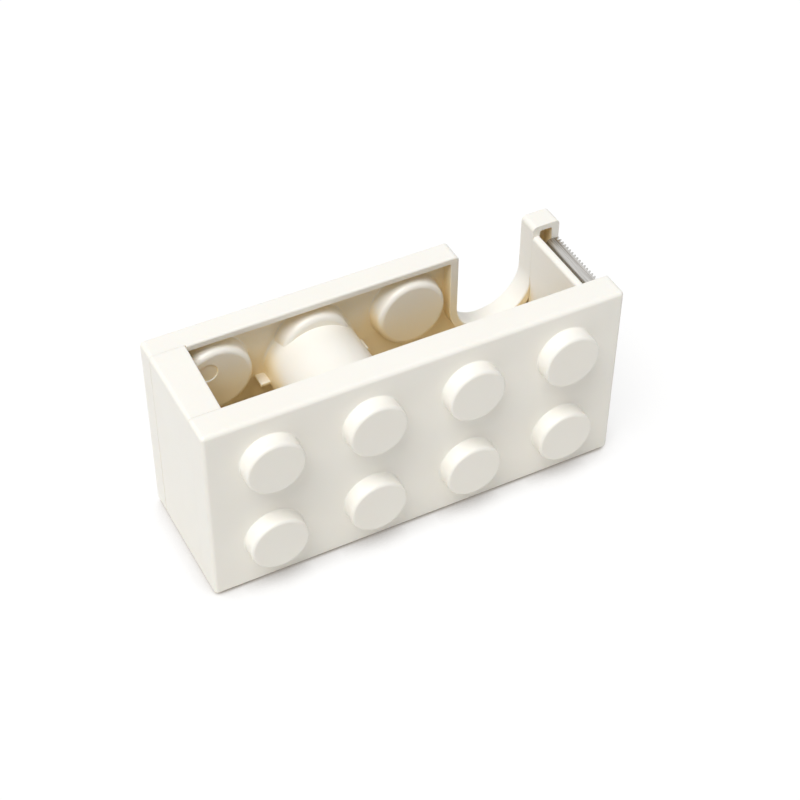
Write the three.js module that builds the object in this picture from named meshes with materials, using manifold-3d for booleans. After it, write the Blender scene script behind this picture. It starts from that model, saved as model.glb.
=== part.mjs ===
// Desk tape dispenser in the shape of a two-by-four building brick. Millimetres, +Z up.
// The origin lies under the middle of the object, on the surface that it stands on.
// X runs from the closed end to the cutter end, the studs face -Y, and the rear shell
// with the tape hub pulls off towards +Y, so that a roll can be put on the hub.
// Inside the body group, y = 0 is the front face, z = 0 the underside of the casing,
// and x = 0 the middle. fromLeft(d) is the place d millimetres from the closed end.

import * as THREE from "three";
import { mergeVertices } from "three/addons/utils/BufferGeometryUtils.js";
import Module from "manifold-3d";

const wasm = await Module();
wasm.setup();

// ---------- driving dimensions ----------

// The brick
const length = 112;
const height = 53.4;
const depth = 36.9;
const cornerRadius = 1.1;
const frontEdgeRadius = 0.9;
const rearEdgeRadius = 0.5;
const postHeight = 54.1;
const postEdgeRadius = 1.1;

// Seams between the three mouldings, and the shell's rim where it stands forward within the bay
const coverBack = 7.3;
const frameFront = 7.5;
const frameBack = 30.5;
const shellFront = 30.85;
const rimFront = 30.4;
const rimClearance = 0.35;
const rimRound = 0.55;

// Studs and the pockets behind them
const studRadius = 7.65;
const studHeight = 4.3;
const studEdge = 0.9;
const studTopWall = 1.9;
const studWall = 1.9;
const studPitchX = 26.5;
const studRows = [14.5, 40.2];
const studColumns = [-1.5, -0.5, 0.5, 1.5].map((step) => step * studPitchX);
const pocketRadius = 7.95;
const pocketDepth = 5.6;
const pocketChamfer = 0.35;
const discFront = 29.45;
const discRadius = 9.4;
const discBaseRadius = 9.75;
const discEdge = 1.5;
const discClearance = 0.35;
const ejectorMark = { x: 13.75, z: 43.45, radius: 2.6, depth: 0.3 };

// Mouldings
const faceSkin = 2;
const coverSkin = 1.8;
const plate = 2.6;
const shellTop = 1.8;
const shellSide = 1.8;
const frameSkin = 1.6;
const webThickness = 2;
const innerCorner = 0.6;

// Finger cutout in the rear shell
const cutLeft = 82.75;
const cutRight = 104.2;
const cutBottom = 27.2;
const cutLeftRadius = 9.2;
const cutRightRadius = 11.8;
const cutLip = 2.3;
const cutCornerRadius = 1.4;
const postWall = 2.1;
const postOuterWall = 2.1;
const postTopWall = 1.55;

// Bay for the roll
const bayLeftFront = 8.1;
const bayLeftBack = 9.2;
const bayRight = 104.2;
const bayFloor = 6;
const bayFillet = 1.5;
const bayWallFront = 2.4;
const ceilingOfBase = 4.4;
const leftCavityRight = 6.6;
const rightCavityLeft = 105.8;
const shelfBottom = 43.5;

// Tape landing and the sill that carries the cutter
const landingTop = 51.2;
const landingRight = 106.1;
const landingInnerRound = 1;
const landingOuterRound = 0.4;
const sillTop = 46;
const ledgeLeft = 108.9;
const ledgeTop = 48.3;
const ledgeRound = 2.8;

// Cutter blade, folded from sheet
const sheet = 0.5;
const bladeLeft = 108;
const bladeTop = 49.3;
const bladeRoot = 110.15;
const bladeFront = 7.7;
const bladeBack = 30.35;
const bendRadius = 1.3;
const tongueBottom = 38.5;
const tongueFront = 8.3;
const tongueBack = 27.9;
const slotClearance = 0.35;
const toothPitch = 1.17;
const toothHeight = 1;
const toothRise = 0.6; // radians above level
const toothRootLand = 0.25;
const toothOverlap = 0.3; // how far the turned-up edge runs back into the flange

// Tape hub and what centres the roll on it
const hubX = 42.5;
const hubZ = 34.2;
const hubRadius = 12.1;
const hubBaseRadius = 12.4;
const hubEdge = 0.6;
const hubWall = 2;
const hubFront = 5.2;
const tabReach = 14.4;
const tabFront = 30.5;
const tabTop = 33.2;
const tabThickness = 1.5;
const spigotRadius = 9.6;
const spigotWall = 1.6;
const spigotTip = 8.4;
const coverTabTip = 9.6;
const coverTabGap = 0.6;

// Fastenings
const screwRows = { left: [7, 47], right: [7, 34] };
const leftWallMiddle = 4.1;
const rightWallMiddle = 108.1;
const screwHeadRadius = 1.9;
const screwHeadHeight = 1.5;
const screwRadius = 1;
const screwLength = 10;
const screwPoint = 1.5;
const screwTipRadius = 0.4;
const screwCrown = 0.6;
const screwSeat = 18;
const tubeRadius = 2.8;
const counterboreRadius = 2.25;
const tubeFront = 16;
const bossRadius = 2;
const pilotRadius = 1.25;
const pilotDepth = 10;
const pegPlaces = [[leftWallMiddle, 18], [leftWallMiddle, 37], [rightWallMiddle, 20.5]];
const pegRadius = 1.4;
const pegShoulderRadius = 2.2;
const pegShoulder = 31.05;
const pegTip = 25.4;
const pegLead = 0.8;
const pegTipRadius = 1;
const socketRadius = 1.75;
const socketTubeRadius = 2.7;
const socketFront = 23.5;

// Weight and feet
const ballastLength = 86;
const ballastDepth = 18.6;
const ballastThickness = 2;
const ballastFront = 8.6;
const ballastGap = 0.3;
const ballastRib = 1.2;
const padRadius = 4.5;
const padRecessRadius = 4.8;
const padRecess = 0.5;
const padLift = 0.6;
const padTop = 0.3;
const padX = 46;
const padRows = [12.6, 25.2];

// Facets round a full turn
const roundFacets = 32;
const smallFacets = 16;

// Steps round a corner and across a rounded edge
const cornerSteps = 6;
const edgeSteps = 3;

// Allowances
const reach = 1; // how far a cutting solid runs past the face that it opens
const root = 0.5; // how far an added solid starts inside the wall that carries it
const seatGap = 0.3; // between a loose part and the face that it rests against

// ---------- making solids ----------

const fromLeft = (distance) => distance - length / 2;

// A closed geometry as a solid that can be cut and joined.
function solid(geometry) {
  const bare = geometry.clone();
  bare.deleteAttribute("normal");
  bare.deleteAttribute("uv");
  const merged = mergeVertices(bare, 1e-4);
  const vertProperties = merged.attributes.position.array;
  const triVerts = new Uint32Array(merged.index.array);
  return new wasm.Manifold(new wasm.Mesh({ numProp: 3, vertProperties, triVerts }));
}

// The solid's surface as a geometry for a mesh.
function surface(manifold) {
  const { vertProperties, triVerts } = manifold.getMesh();
  const geometry = new THREE.BufferGeometry();
  geometry.setAttribute("position", new THREE.BufferAttribute(vertProperties, 3));
  geometry.setIndex(new THREE.BufferAttribute(triVerts, 1));
  const flat = geometry.toNonIndexed();
  flat.computeVertexNormals();
  return flat;
}

const joined = (solids) => solids.reduce((whole, next) => whole.add(next));
const without = (whole, cutters) => cutters.reduce((left, cutter) => left.subtract(cutter), whole);

// An outline in x and z, drawn out along Y.
function prism(outline, yFrom, yTo, options = {}) {
  const settings = { depth: yTo - yFrom, bevelEnabled: false, curveSegments: cornerSteps, ...options };
  const geometry = new THREE.ExtrudeGeometry(outline, settings);
  geometry.rotateX(Math.PI / 2);
  geometry.translate(0, yTo, 0);
  return solid(geometry);
}

// An outline drawn out along Y whose edges at the outer face are rounded.
// The bevel at the other end is cut off at yInner.
function roundedPrism(outline, yOuter, yInner, radius) {
  const step = Math.sign(yInner - yOuter);
  const yEnd = yInner + step * 2 * radius;
  const settings = {
    bevelEnabled: true,
    bevelThickness: radius,
    bevelSize: radius,
    bevelOffset: -radius,
    bevelSegments: edgeSteps,
  };
  const low = Math.min(yOuter, yEnd) + radius;
  const high = Math.max(yOuter, yEnd) - radius;
  const long = prism(outline, low, high, settings);
  const spare = block([-length, Math.min(yInner, yEnd + step), -length],
    [length, Math.max(yInner, yEnd + step), length]);
  return long.subtract(spare);
}

// A box between two corners.
function block(low, high) {
  const size = high.map((value, axis) => value - low[axis]);
  const geometry = new THREE.BoxGeometry(...size);
  geometry.translate(...low.map((value, axis) => value + size[axis] / 2));
  return solid(geometry);
}

// A profile of [radius, y] pairs from axis to axis, turned about a line along Y through (x, z).
function turned(profile, x, z, facets = roundFacets) {
  const points = profile.map(([radius, y]) => new THREE.Vector2(radius, y));
  const geometry = new THREE.LatheGeometry(points, facets);
  geometry.translate(x, 0, z);
  return solid(geometry);
}

const rod = (radius, yFrom, yTo, x, z, facets = smallFacets) =>
  turned([[0, yFrom], [radius, yFrom], [radius, yTo], [0, yTo]], x, z, facets);

// Points of a quarter round between a flat face at y and a side at radius, from the side inwards.
function quarterRound(radius, y, edge, inward, steps = 2) {
  const points = [];
  for (let i = 0; i <= steps; i += 1) {
    const angle = (i / steps) * (Math.PI / 2);
    points.push([
      radius - edge + edge * Math.cos(angle),
      y + inward * edge * (1 - Math.sin(angle)),
    ]);
  }
  return points;
}

// A rectangle with rounded corners.
function roundedRectangle(x0, z0, x1, z1, radius) {
  const shape = new THREE.Shape();
  shape.moveTo(x0 + radius, z0);
  shape.lineTo(x1 - radius, z0);
  shape.absarc(x1 - radius, z0 + radius, radius, -Math.PI / 2, 0);
  shape.lineTo(x1, z1 - radius);
  shape.absarc(x1 - radius, z1 - radius, radius, 0, Math.PI / 2);
  shape.lineTo(x0 + radius, z1);
  shape.absarc(x0 + radius, z1 - radius, radius, Math.PI / 2, Math.PI);
  shape.lineTo(x0, z0 + radius);
  shape.absarc(x0 + radius, z0 + radius, radius, Math.PI, Math.PI * 1.5);
  return shape;
}

// ---------- front cover ----------

// A hollow stud: a rounded button outside and a round recess behind it.
function stud(x, z) {
  const rim = quarterRound(studRadius, -studHeight, studEdge, 1);
  return turned([[0, -studHeight], ...rim.reverse(), [studRadius, root], [0, root]], x, z);
}

const studHollow = (x, z) =>
  rod(studRadius - studWall, studTopWall - studHeight, faceSkin + reach, x, z, roundFacets);

// The boss that a screw bites into, with its pilot hole open towards the rear.
function screwBoss(x, z) {
  const tip = tubeFront - seatGap;
  const boss = rod(bossRadius, faceSkin - root, tip, x, z);
  return { boss, pilot: rod(pilotRadius, tip - pilotDepth, tip + reach, x, z) };
}

// A flat tab beside the hub, level with the roll's middle.
function hubTab(side, inner, [yFrom, yTo]) {
  const [near, far] = [inner, tabReach].map((distance) => fromLeft(hubX) + side * distance);
  return block([Math.min(near, far), yFrom, tabTop - tabThickness], [Math.max(near, far), yTo, tabTop]);
}

function frontCover() {
  const [left, right] = [fromLeft(0), fromLeft(length)];
  const outline = roundedRectangle(left, 0, right, height, cornerRadius);
  const hollow = roundedRectangle(left + coverSkin, coverSkin, right - coverSkin,
    height - coverSkin, innerCorner);
  const tray = roundedPrism(outline, 0, coverBack, frontEdgeRadius)
    .subtract(prism(hollow, faceSkin, coverBack + reach));
  const studs = studColumns.flatMap((x) => studRows.map((z) => [x, z]));
  const bosses = screwPlaces().map(([x, z]) => screwBoss(x, z));
  const hub = [fromLeft(hubX), hubZ];
  const spigot = rod(spigotRadius, faceSkin - root, spigotTip, ...hub, roundFacets);
  const spigotBore = rod(spigotRadius - spigotWall, faceSkin, spigotTip + reach, ...hub, roundFacets);
  const guides = [-1, 1].map((side) =>
    hubTab(side, hubRadius + coverTabGap, [faceSkin - root, coverTabTip]));
  const solids = [tray, spigot, ...guides, ...bosses.map(({ boss }) => boss),
    ...studs.map(([x, z]) => stud(x, z))];
  return without(joined(solids), [spigotBore, ...bosses.map(({ pilot }) => pilot),
    ...studs.map(([x, z]) => studHollow(x, z))]);
}

// ---------- casing frame ----------

function screwPlaces() {
  return [
    ...screwRows.left.map((z) => [fromLeft(leftWallMiddle), z]),
    ...screwRows.right.map((z) => [fromLeft(rightWallMiddle), z]),
  ];
}

// The U of the casing seen from the front: closed end, base, landing wall, sill and ledge.
function frameOutline() {
  const shape = new THREE.Shape();
  const [left, right] = [fromLeft(0), fromLeft(length)];
  const [bayL, bayR] = [fromLeft(bayLeftFront), fromLeft(bayRight)];
  const landing = fromLeft(landingRight);
  const [inner, outer] = [landingInnerRound, landingOuterRound];
  const c = cornerRadius;
  shape.moveTo(left + c, 0);
  shape.lineTo(right - c, 0);
  shape.absarc(right - c, c, c, -Math.PI / 2, 0);
  shape.lineTo(right, ledgeTop - ledgeRound);
  shape.absarc(right - ledgeRound, ledgeTop - ledgeRound, ledgeRound, 0, Math.PI / 2);
  shape.lineTo(fromLeft(ledgeLeft), ledgeTop);
  shape.lineTo(fromLeft(ledgeLeft), sillTop);
  shape.lineTo(landing, sillTop);
  shape.lineTo(landing, landingTop - outer);
  shape.absarc(landing - outer, landingTop - outer, outer, 0, Math.PI / 2);
  shape.lineTo(bayR + inner, landingTop);
  shape.absarc(bayR + inner, landingTop - inner, inner, Math.PI / 2, Math.PI);
  shape.lineTo(bayR, bayFloor + bayFillet);
  shape.absarc(bayR - bayFillet, bayFloor + bayFillet, bayFillet, 0, -Math.PI / 2, true);
  shape.lineTo(bayL + bayFillet, bayFloor);
  shape.absarc(bayL + bayFillet, bayFloor + bayFillet, bayFillet, -Math.PI / 2, -Math.PI, true);
  shape.lineTo(bayL, height);
  shape.lineTo(left + c, height);
  shape.absarc(left + c, height - c, c, Math.PI / 2, Math.PI);
  shape.lineTo(left, c);
  shape.absarc(left + c, c, c, Math.PI, Math.PI * 1.5);
  return shape;
}

// The hollow inside that U, open to the front and closed by the web at the rear.
function frameCavity() {
  const shape = new THREE.Shape();
  const [left, right] = [fromLeft(frameSkin), fromLeft(length - frameSkin)];
  shape.moveTo(left, frameSkin);
  shape.lineTo(right, frameSkin);
  shape.lineTo(right, shelfBottom);
  shape.lineTo(fromLeft(rightCavityLeft), shelfBottom);
  shape.lineTo(fromLeft(rightCavityLeft), ceilingOfBase);
  shape.lineTo(fromLeft(leftCavityRight), ceilingOfBase);
  shape.lineTo(fromLeft(leftCavityRight), height - frameSkin);
  shape.lineTo(left, height - frameSkin);
  return prism(shape, bayWallFront - reach, frameBack - webThickness);
}

// Only the walls round the bay run forward into the front cover. The outer skin stops at the seam.
function coverClearance() {
  const outside = roundedRectangle(fromLeft(-reach), -reach, fromLeft(length + reach),
    height + reach, innerCorner);
  const kept = new THREE.Path();
  const top = height - coverSkin - slotClearance;
  kept.moveTo(fromLeft(leftCavityRight), ceilingOfBase);
  kept.lineTo(fromLeft(leftCavityRight), top);
  kept.lineTo(fromLeft(landingRight), top);
  kept.lineTo(fromLeft(landingRight), ceilingOfBase);
  outside.holes.push(kept);
  return prism(outside, bayWallFront - reach, frameFront);
}

// The closed end's inner face leans in towards the rear, as the mould's draft makes it.
function draftWedge() {
  const shape = new THREE.Shape();
  const inside = fromLeft(leftCavityRight + root);
  shape.moveTo(inside, bayWallFront);
  shape.lineTo(fromLeft(bayLeftFront), bayWallFront);
  shape.lineTo(fromLeft(bayLeftBack), frameBack);
  shape.lineTo(inside, frameBack);
  const wedge = new THREE.ExtrudeGeometry(shape, { depth: height - ceilingOfBase, bevelEnabled: false });
  wedge.translate(0, 0, ceilingOfBase);
  return solid(wedge);
}

// Two ribs across the base's hollow, which keep the ballast plate from sliding endways.
function ballastRibs() {
  return [-1, 1].map((side) => {
    const near = side * (ballastLength / 2 + ballastGap);
    const far = near + side * ballastRib;
    return block([Math.min(near, far), ballastFront, frameSkin - root],
      [Math.max(near, far), frameBack - webThickness + root, ceilingOfBase + root]);
  });
}

// The rear shell's discs stand forward into the walls round the bay, which are cut round for them.
const discNotches = () => pocketPlaces().map(([x, z]) =>
  rod(discBaseRadius + discClearance, discFront - discClearance, frameBack + reach, x, z, roundFacets));

function casingFrame() {
  const shell = joined([prism(frameOutline(), bayWallFront, frameBack), draftWedge()]);
  const places = screwPlaces();
  const tubes = places.map(([x, z]) => rod(tubeRadius, tubeFront, frameBack - root, x, z));
  const counterbores = places.map(([x, z]) =>
    rod(counterboreRadius, screwSeat, frameBack + reach, x, z));
  const shankHoles = places.map(([x, z]) => rod(pilotRadius, tubeFront - reach, screwSeat + reach, x, z));
  const sockets = pegPlaces.map(([x, z]) => [fromLeft(x), z]);
  const socketTubes = sockets.map(([x, z]) => rod(socketTubeRadius, socketFront, frameBack - root, x, z));
  const socketBores = sockets.map(([x, z]) =>
    rod(socketRadius, socketFront - reach, frameBack + reach, x, z));
  const slot = block(
    [fromLeft(bladeLeft - slotClearance), bayWallFront - reach, shelfBottom - reach],
    [fromLeft(ledgeLeft), tongueBack + slotClearance, ledgeTop],
  );
  const recesses = padPlaces().map(([x, y]) => upright(padRecessRadius, -reach, padRecess, x, y));
  const hollowed = without(shell, [frameCavity(), coverClearance()]);
  const tubed = joined([hollowed, ...tubes, ...socketTubes, ...ballastRibs()]);
  const cuts = [...counterbores, ...shankHoles, ...socketBores, slot, ...recesses, ...discNotches()];
  return without(tubed, cuts);
}

// ---------- rear shell ----------

// The brick's rear outline with the finger cutout open at the top. The post stands a little taller.
function shellOutline() {
  const shape = new THREE.Shape();
  const [left, right] = [fromLeft(0), fromLeft(length)];
  const [c, e, k] = [cornerRadius, postEdgeRadius, cutCornerRadius];
  const [cutL, cutR] = [fromLeft(cutLeft), fromLeft(cutRight)];
  shape.moveTo(left + c, 0);
  shape.lineTo(right - c, 0);
  shape.absarc(right - c, c, c, -Math.PI / 2, 0);
  shape.lineTo(right, postHeight - e);
  shape.absarc(right - e, postHeight - e, e, 0, Math.PI / 2);
  shape.lineTo(cutR + k, postHeight);
  shape.absarc(cutR + k, postHeight - k, k, Math.PI / 2, Math.PI);
  shape.lineTo(cutR, cutBottom + cutRightRadius);
  shape.absarc(cutR - cutRightRadius, cutBottom + cutRightRadius, cutRightRadius, 0, -Math.PI / 2, true);
  shape.lineTo(cutL + cutLeftRadius, cutBottom);
  shape.absarc(cutL + cutLeftRadius, cutBottom + cutLeftRadius, cutLeftRadius, -Math.PI / 2, -Math.PI, true);
  shape.lineTo(cutL, height - k);
  shape.absarc(cutL - k, height - k, k, 0, Math.PI / 2);
  shape.lineTo(left + c, height);
  shape.absarc(left + c, height - c, c, Math.PI / 2, Math.PI);
  shape.lineTo(left, c);
  shape.absarc(left + c, c, c, Math.PI, Math.PI * 1.5);
  return shape;
}

// The hollow behind that outline, which leaves a lip along the cutout and a rim round the post.
function shellCavity() {
  const shape = new THREE.Shape();
  const [left, right] = [fromLeft(shellSide), fromLeft(length - postOuterWall)];
  const top = height - shellTop;
  const rightArc = [fromLeft(cutRight - cutRightRadius), cutBottom + cutRightRadius];
  const leftArc = [fromLeft(cutLeft + cutLeftRadius), cutBottom + cutLeftRadius];
  shape.moveTo(left, shellSide);
  shape.lineTo(right, shellSide);
  shape.lineTo(right, postHeight - postTopWall);
  shape.lineTo(fromLeft(cutRight + postWall), postHeight - postTopWall);
  shape.absarc(...rightArc, cutRightRadius + postWall, 0, -Math.PI / 2, true);
  shape.absarc(...leftArc, cutLeftRadius + cutLip, -Math.PI / 2, -Math.PI, true);
  shape.lineTo(fromLeft(cutLeft - cutLip), top);
  shape.lineTo(left, top);
  return prism(shape, rimFront - reach, depth - plate);
}

// The shell's rim stops at the seam where the frame stands in front of it. Within the bay it runs on.
function frameClearance() {
  const shape = new THREE.Shape();
  const [left, right] = [fromLeft(bayLeftBack + rimClearance), fromLeft(bayRight - rimClearance)];
  const top = postHeight + reach;
  shape.moveTo(fromLeft(-reach), -reach);
  shape.lineTo(fromLeft(length + reach), -reach);
  shape.lineTo(fromLeft(length + reach), top);
  shape.lineTo(right, top);
  shape.lineTo(right, bayFloor + rimClearance);
  shape.lineTo(left, bayFloor + rimClearance);
  shape.lineTo(left, top);
  shape.lineTo(fromLeft(-reach), top);
  return prism(shape, rimFront - reach, shellFront);
}

// What is cut away to round the top edge of the rim over the bay.
function rimEdge() {
  const shape = new THREE.Shape();
  const [y, z] = [rimFront + rimRound, height - rimRound];
  shape.moveTo(y, height + reach);
  shape.lineTo(rimFront - reach, height + reach);
  shape.lineTo(rimFront - reach, z);
  shape.lineTo(rimFront, z);
  shape.absarc(y, z, rimRound, Math.PI, Math.PI / 2, true);
  const along = fromLeft(cutLeft) - fromLeft(bayLeftBack);
  const settings = { depth: along, bevelEnabled: false, curveSegments: edgeSteps };
  const strip = new THREE.ExtrudeGeometry(shape, settings);
  strip.rotateX(Math.PI / 2);
  strip.rotateZ(Math.PI / 2);
  strip.translate(fromLeft(bayLeftBack), 0, 0);
  return solid(strip);
}

// A raised disc inside the shell, which is the back of a stud pocket.
function pocketDisc(x, z) {
  const rim = quarterRound(discRadius, discFront, discEdge, 1);
  return turned([[0, discFront], ...rim.reverse(), [discBaseRadius, depth - plate + root],
    [0, depth - plate + root]], x, z);
}

// The round pocket that takes a stud from behind, with a chamfered mouth.
function pocketBore(x, z) {
  const bottom = depth - pocketDepth;
  return turned([[0, bottom], [pocketRadius, bottom], [pocketRadius, depth - pocketChamfer],
    [pocketRadius + pocketChamfer + reach, depth + reach], [0, depth + reach]], x, z);
}

// Every stud place has a pocket but the one that the cutout takes away.
function pocketPlaces() {
  const places = studColumns.flatMap((x) => studRows.map((z) => [x, z]));
  return places.filter(([x, z]) => !(x > fromLeft(cutLeft) && z > cutBottom));
}

// The hub is a tube, open at its front end, with a rounded lip there and a little draft.
function hubTube() {
  const rim = quarterRound(hubRadius, hubFront, hubEdge, 1);
  const outside = turned([[0, hubFront], ...rim.reverse(), [hubBaseRadius, depth - plate + root],
    [0, depth - plate + root]], fromLeft(hubX), hubZ);
  return outside.subtract(rod(hubRadius - hubWall, hubFront - reach, depth - plate,
    fromLeft(hubX), hubZ, roundFacets));
}

// Two small standoffs beside the hub, which keep the roll clear of the discs.
const standoffs = () => [-1, 1].map((side) =>
  hubTab(side, hubRadius - root, [tabFront, depth - plate + root]));

// A peg that plugs into a socket of the frame and holds the shell by friction.
function peg(x, z) {
  return turned([[0, pegTip], [pegTipRadius, pegTip], [pegRadius, pegTip + pegLead],
    [pegRadius, pegShoulder], [pegShoulderRadius, pegShoulder],
    [pegShoulderRadius, depth - plate + root], [0, depth - plate + root]], x, z, smallFacets);
}

// The shallow round print that an ejector pin left on the disc nearest the closed end.
function ejectorPrint() {
  const { x, z, radius, depth: deep } = ejectorMark;
  return rod(radius, discFront - reach, discFront + deep, fromLeft(x), z);
}

function rearShell() {
  const shell = roundedPrism(shellOutline(), depth, rimFront, rearEdgeRadius);
  const tray = without(shell, [shellCavity(), frameClearance(), rimEdge()]);
  const pockets = pocketPlaces();
  const solids = [tray, hubTube(), ...standoffs(), ...pockets.map(([x, z]) => pocketDisc(x, z)),
    ...pegPlaces.map(([x, z]) => peg(fromLeft(x), z))];
  return without(joined(solids), [ejectorPrint(), ...pockets.map(([x, z]) => pocketBore(x, z))]);
}

// ---------- cutter blade ----------

// The folded strip in section: a tongue up from the slot, a round bend and a level flange.
function bladeSection(bottom) {
  const shape = new THREE.Shape();
  const left = fromLeft(bladeLeft);
  const bend = [left + bendRadius, bladeTop - bendRadius];
  const edge = fromLeft(bladeRoot) + sheet * Math.sin(toothRise) / 2;
  shape.moveTo(left, bottom);
  shape.lineTo(left + sheet, bottom);
  shape.lineTo(left + sheet, bend[1]);
  shape.absarc(...bend, bendRadius - sheet, Math.PI, Math.PI / 2, true);
  shape.lineTo(edge, bladeTop - sheet);
  shape.lineTo(edge, bladeTop);
  shape.lineTo(bend[0], bladeTop);
  shape.absarc(...bend, bendRadius, Math.PI / 2, Math.PI);
  return shape;
}

// The saw edge: one outline of teeth, cut from sheet and turned up from the flange.
function sawEdge() {
  const shape = new THREE.Shape();
  const count = Math.floor((bladeBack - bladeFront) / toothPitch);
  const start = bladeFront + (bladeBack - bladeFront - count * toothPitch) / 2;
  shape.moveTo(-toothOverlap, bladeFront);
  shape.lineTo(toothRootLand, bladeFront);
  for (let i = 0; i < count; i += 1) {
    shape.lineTo(toothRootLand, start + i * toothPitch);
    shape.lineTo(toothRootLand + toothHeight, start + (i + 0.5) * toothPitch);
  }
  shape.lineTo(toothRootLand, start + count * toothPitch);
  shape.lineTo(toothRootLand, bladeBack);
  shape.lineTo(-toothOverlap, bladeBack);
  const teeth = new THREE.ExtrudeGeometry(shape, { depth: sheet, bevelEnabled: false });
  teeth.translate(0, 0, -sheet);
  teeth.rotateY(-toothRise);
  teeth.translate(fromLeft(bladeRoot), 0, bladeTop);
  return solid(teeth);
}

function cutterBlade() {
  const legBottom = sillTop + seatGap;
  const flange = prism(bladeSection(legBottom), bladeFront, bladeBack);
  const tongue = block([fromLeft(bladeLeft), tongueFront, tongueBottom],
    [fromLeft(bladeLeft) + sheet, tongueBack, legBottom + root]);
  return joined([flange, tongue, sawEdge()]);
}

// ---------- weight, feet and screws ----------

// A disc or hole whose axis is upright.
function upright(radius, zFrom, zTo, x, y) {
  const geometry = new THREE.CylinderGeometry(radius, radius, zTo - zFrom, roundFacets);
  geometry.rotateX(Math.PI / 2);
  geometry.translate(x, y, (zFrom + zTo) / 2);
  return solid(geometry);
}

const padPlaces = () => [-padX, padX].flatMap((x) => padRows.map((y) => [x, y]));

const footPad = (x, y) => upright(padRadius, -padLift, padTop, x, y);

const ballastPlate = () => block(
  [-ballastLength / 2, ballastFront, frameSkin + ballastGap],
  [ballastLength / 2, ballastFront + ballastDepth, frameSkin + ballastGap + ballastThickness],
);

// A pan-head screw whose shank points to the front.
function screw(x, z) {
  const seat = screwSeat + seatGap;
  const tip = seat - screwLength;
  const crown = quarterRound(screwHeadRadius, seat + screwHeadHeight, screwCrown, -1);
  return turned([[0, tip], [screwTipRadius, tip], [screwRadius, tip + screwPoint], [screwRadius, seat],
    [screwHeadRadius, seat], ...crown, [0, seat + screwHeadHeight]], x, z, smallFacets);
}

// ---------- assembly ----------

const cream = new THREE.MeshStandardMaterial({ color: 0xf1eee4, roughness: 0.42, metalness: 0 });
const steel = new THREE.MeshStandardMaterial({ color: 0xb9b8b4, roughness: 0.28, metalness: 1 });
const plated = new THREE.MeshStandardMaterial({ color: 0x9ea2a5, roughness: 0.4, metalness: 1 });
const foam = new THREE.MeshStandardMaterial({ color: 0xdedbd2, roughness: 0.9, metalness: 0 });

function named(name, manifold, material) {
  const mesh = new THREE.Mesh(surface(manifold), material);
  mesh.name = name;
  return mesh;
}

const body = new THREE.Group();
body.add(named("front_cover", frontCover(), cream));
body.add(named("casing_frame", casingFrame(), cream));
body.add(named("rear_shell", rearShell(), cream));
body.add(named("cutter_blade", cutterBlade(), steel));
body.add(named("ballast_plate", ballastPlate(), plated));
padPlaces().forEach(([x, y], i) => body.add(named(`foot_pad_${i + 1}`, footPad(x, y), foam)));
screwPlaces().forEach(([x, z], i) => body.add(named(`case_screw_${i + 1}`, screw(x, z), plated)));
body.position.set(0, -(depth - studHeight) / 2, padLift);

const dispenser = new THREE.Group();
dispenser.add(body);

export default dispenser;
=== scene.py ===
"""Desk tape dispenser in the shape of a two-by-four building brick: its finished surfaces.

Solids are made in millimetres, in the casing's own frame: x runs from the closed end to the
cutter end, y from the front face to the rear, and z up from the underside. Each finished piece
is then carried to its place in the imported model's frame, in metres.
"""

import math

import bmesh
import bpy
from mathutils import Matrix, Vector


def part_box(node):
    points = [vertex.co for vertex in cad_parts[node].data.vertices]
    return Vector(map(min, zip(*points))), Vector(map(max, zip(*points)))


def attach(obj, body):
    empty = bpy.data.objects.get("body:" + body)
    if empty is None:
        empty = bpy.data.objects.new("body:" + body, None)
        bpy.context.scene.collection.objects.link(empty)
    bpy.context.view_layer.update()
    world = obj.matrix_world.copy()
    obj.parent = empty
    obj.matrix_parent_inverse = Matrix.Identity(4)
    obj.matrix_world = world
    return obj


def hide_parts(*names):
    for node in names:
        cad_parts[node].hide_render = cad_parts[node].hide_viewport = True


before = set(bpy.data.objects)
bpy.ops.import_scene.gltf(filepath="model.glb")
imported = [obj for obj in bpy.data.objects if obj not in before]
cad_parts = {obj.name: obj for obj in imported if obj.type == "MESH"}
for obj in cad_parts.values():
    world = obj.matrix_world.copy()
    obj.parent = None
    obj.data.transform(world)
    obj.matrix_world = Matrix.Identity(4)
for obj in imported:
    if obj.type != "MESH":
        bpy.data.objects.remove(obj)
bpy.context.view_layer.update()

# ---------- sizes, in millimetres ----------

MM = 0.001
STUD_HEIGHT = 4.3

cover_low, cover_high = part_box("front_cover")
shell_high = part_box("rear_shell")[1]
ORIGIN = cover_low + Vector((0, STUD_HEIGHT * MM, 0))


def in_casing(node):
    """A node's lowest and highest corner in the casing's frame, in millimetres."""
    low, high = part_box(node)
    return (low - ORIGIN) / MM, (high - ORIGIN) / MM


# The brick and the seams between its three mouldings
LENGTH = (cover_high.x - cover_low.x) / MM
HEIGHT = (cover_high.z - cover_low.z) / MM
DEPTH = (shell_high.y - ORIGIN.y) / MM
CORNER = 1.1
FRONT_EDGE = 1.1
REAR_EDGE = 0.5
SEAM_EDGE = 0.04
SEAM_WIDTH = 0.2  # the seam behind the frame stands open on the closed end
SEAM_DEPTH = 0.5
COVER_BACK = 7.46
FRAME_FRONT = 7.5
FRAME_BACK = 30.83
SHELL_FRONT = 30.85
RIM_FRONT = 30.4
RIM_CLEARANCE = 0.08
RIM_ROUND = 0.55
RIM_INNER_EDGE = 0.12

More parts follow.
